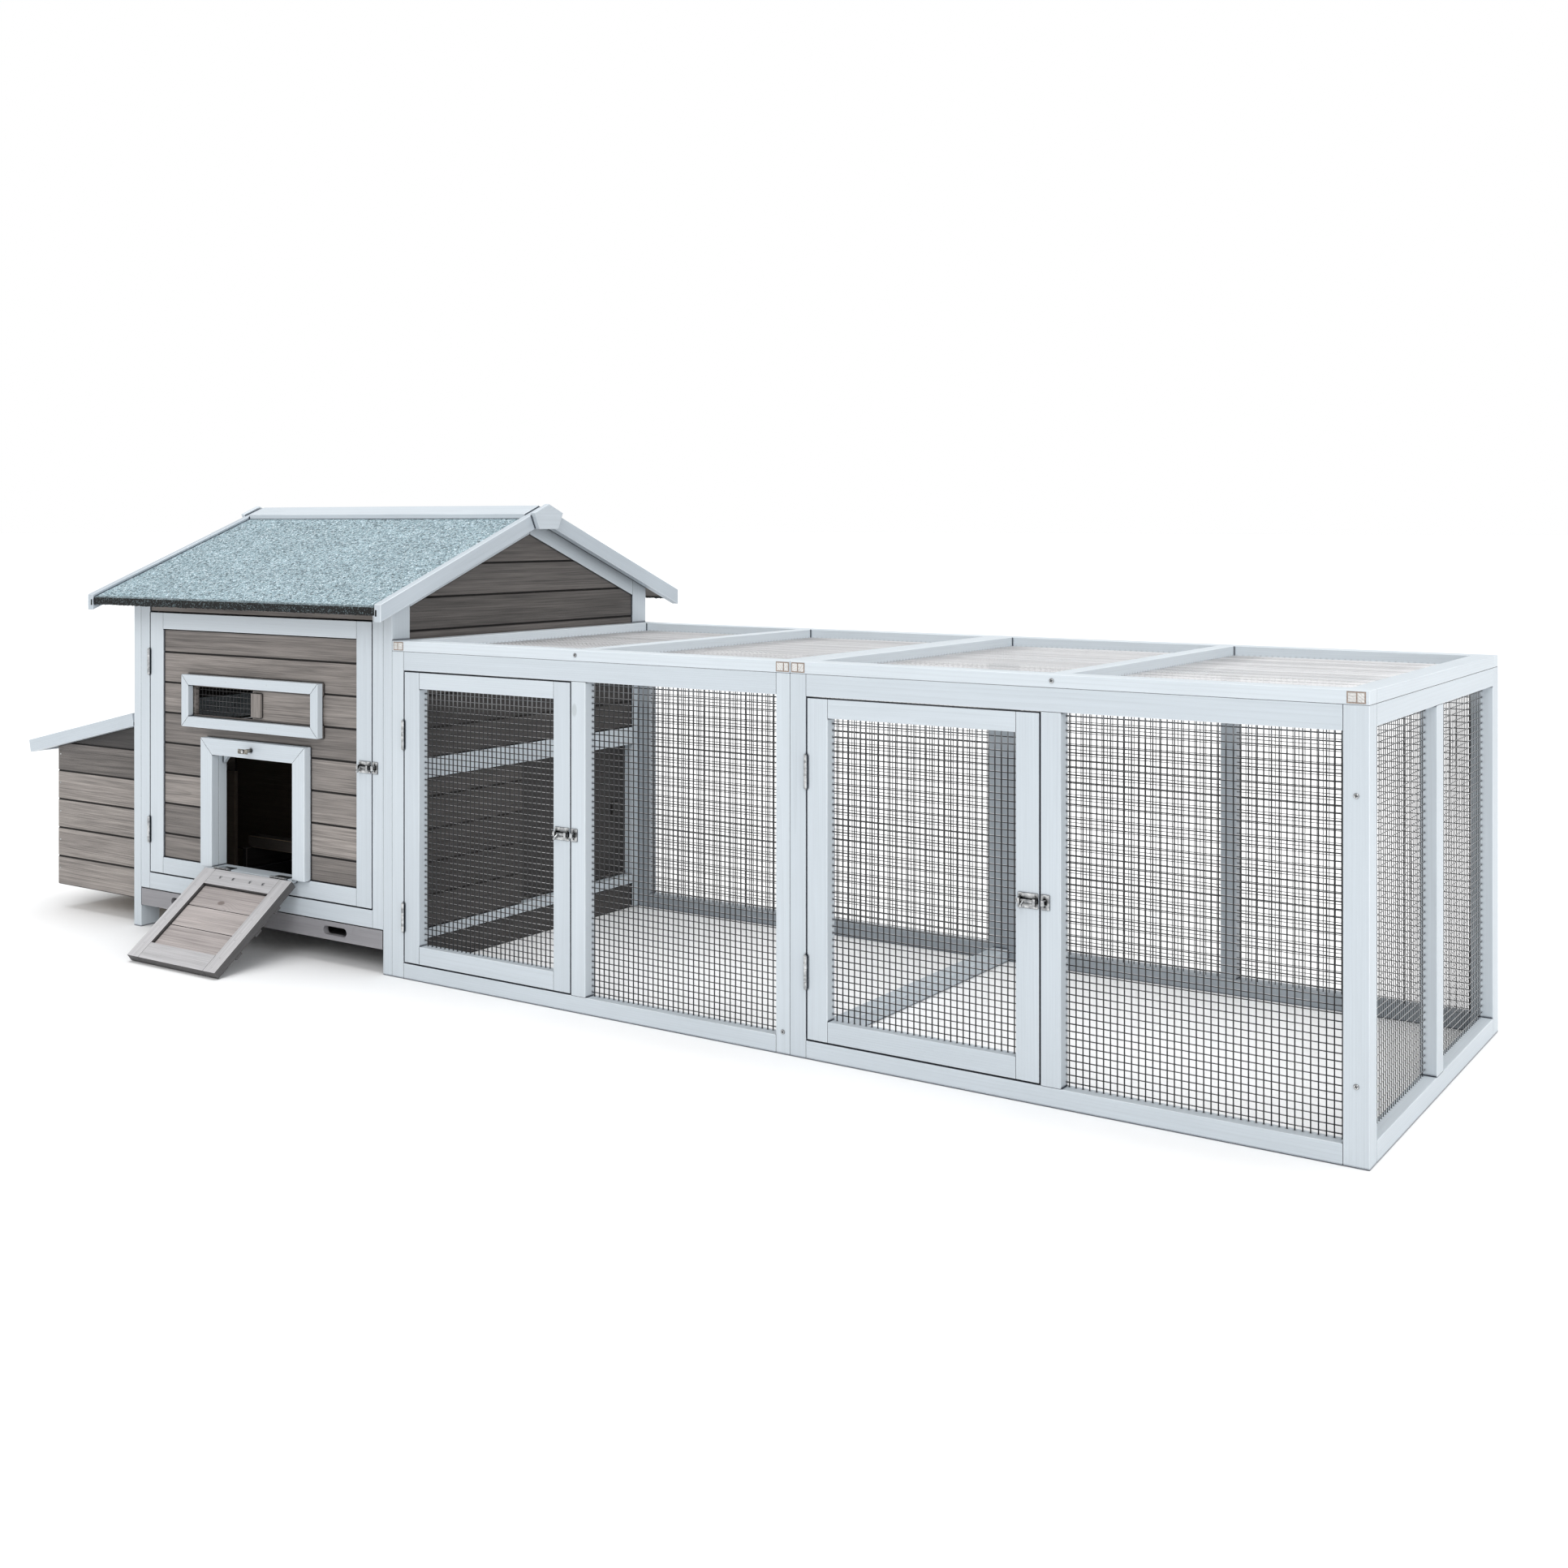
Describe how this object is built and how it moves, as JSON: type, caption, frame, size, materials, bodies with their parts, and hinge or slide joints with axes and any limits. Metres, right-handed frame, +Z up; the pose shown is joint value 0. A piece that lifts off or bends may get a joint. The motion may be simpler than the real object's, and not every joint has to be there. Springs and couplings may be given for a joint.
{
  "type": "chicken coop",
  "caption": "Wooden hen house with a felted gable roof, nest box, pull-out tray, hinged door with pop hole and ramp, joined to a long wire-mesh run with two doors.",
  "frame": {"origin": "centre of the base of the whole coop's box, on the ground", "axes": "+Z up, +X along the run away from the house, -Y the side with the doors"},
  "size_m": [3.5095, 1.24, 1.059],
  "materials": {
    "white_paint": "pale blue-white painted softwood",
    "grey_stain": "grey-brown stained softwood planks",
    "tray_paint": "dark grey-brown painted board",
    "ramp_stain": "light grey-brown stained softwood",
    "bare_wood": "bare softwood and plywood",
    "roof_felt": "blue-green mineral roofing felt",
    "zinc_steel": "bright zinc plate",
    "wire_mesh": "welded wire"
  },
  "bodies": {
    "coop": {"right_side_frame": "white_paint", "right_side_planks": "grey_stain", "left_side_frame": "white_paint", "left_side_planks": "grey_stain", "front_frame": "white_paint", "front_top_board": "grey_stain", "back_frame": "white_paint", "back_planks": "grey_stain", "roof_decks": "bare_wood", "roof_felt": "roof_felt", "barge_boards": "white_paint", "ridge_boards": "white_paint", "ridge_end_blocks": "white_paint", "tray_runners": "bare_wood", "perches": "bare_wood", "perch_holders": "grey_stain", "side_door_tracks": "grey_stain", "nest_walls": "grey_stain", "nest_floor": "bare_wood", "nest_dividers": "bare_wood", "fixed_hinge_leaves": "zinc_steel", "bolt_keepers": "zinc_steel", "run_front_frames": "white_paint", "run_back_frames": "white_paint", "run_end_frame": "white_paint", "run_roof_frames": "white_paint", "run_floor_bar": "white_paint", "run_mesh": "wire_mesh", "frame_screws": "zinc_steel"},
    "nest_lid": {"nest_lid": "white_paint", "nest_lid_felt": "roof_felt", "nest_lid_hinge_leaves": "zinc_steel"},
    "tray": {"tray_front": "tray_paint", "tray_box": "tray_paint"},
    "side_door": {"side_door_panel": "grey_stain"},
    "front_door": {"front_door_frame": "white_paint", "front_door_planks": "grey_stain", "front_door_fittings": "zinc_steel", "window_frame": "white_paint", "window_tracks": "grey_stain", "window_mesh": "wire_mesh", "pop_hole_frame": "white_paint", "pop_hole_lining": "white_paint", "turn_button_screw": "zinc_steel", "ramp_hinge_fixed": "zinc_steel"},
    "window_shutter": {"window_shutter": "grey_stain"},
    "turn_button": {"turn_button": "zinc_steel"},
    "ramp": {"ramp_frame": "ramp_stain", "ramp_planks": "ramp_stain", "ramp_cleats": "ramp_stain", "ramp_hinge_leaves": "zinc_steel"},
    "front_bolt": {"front_bolt_rod": "zinc_steel"},
    "run_door_1": {"run_door_1_frame": "white_paint", "run_door_1_mesh": "wire_mesh", "run_door_1_fittings": "zinc_steel"},
    "run_bolt_1": {"run_bolt_rod_1": "zinc_steel"},
    "run_door_2": {"run_door_2_frame": "white_paint", "run_door_2_mesh": "wire_mesh", "run_door_2_fittings": "zinc_steel"},
    "run_bolt_2": {"run_bolt_rod_2": "zinc_steel"}
  },
  "joints": [
    {"name": "front_door_hinge", "type": "hinge", "parent": "coop", "child": "front_door", "pos_m": [-1.2465, -0.37882, 0.458], "axis": [0, 0, -1], "range_deg": [0, 110]},
    {"name": "ramp_hinge", "type": "hinge", "parent": "front_door", "child": "ramp", "pos_m": [-0.8485, -0.39502, 0.184], "axis": [-1, 0, 0], "range_deg": [0, 127.3]},
    {"name": "turn_button_pivot", "type": "hinge", "parent": "front_door", "child": "turn_button", "pos_m": [-0.8485, -0.39102, 0.474], "axis": [0, 1, 0], "range_deg": [0, 90]},
    {"name": "window_shutter_slide", "type": "slide", "parent": "front_door", "child": "window_shutter", "axis": [-1, 0, 0], "range_m": [0, 0.215]},
    {"name": "front_bolt_slide", "type": "slide", "parent": "front_door", "child": "front_bolt", "axis": [1, 0, 0], "range_m": [0, 0.016]},
    {"name": "run_door_1_hinge", "type": "hinge", "parent": "coop", "child": "run_door_1", "pos_m": [-0.3575, -0.37882, 0.36], "axis": [0, 0, -1], "range_deg": [0, 110]},
    {"name": "run_bolt_1_slide", "type": "slide", "parent": "run_door_1", "child": "run_bolt_1", "axis": [1, 0, 0], "range_m": [0, 0.016]},
    {"name": "run_door_2_hinge", "type": "hinge", "parent": "coop", "child": "run_door_2", "pos_m": [0.7075, -0.37882, 0.36], "axis": [0, 0, -1], "range_deg": [0, 110]},
    {"name": "run_bolt_2_slide", "type": "slide", "parent": "run_door_2", "child": "run_bolt_2", "axis": [1, 0, 0], "range_m": [0, 0.016]},
    {"name": "nest_lid_hinge", "type": "hinge", "parent": "coop", "child": "nest_lid", "pos_m": [-1.3142, 0.08248, 0.537], "axis": [0, 1, 0], "range_deg": [0, 75]},
    {"name": "tray_slide", "type": "slide", "parent": "coop", "child": "tray", "axis": [0, -1, 0], "range_m": [0, 0.07]},
    {"name": "side_door_slide", "type": "slide", "parent": "coop", "child": "side_door", "axis": [0, -1, 0], "range_m": [0, 0.34]}
  ]
}
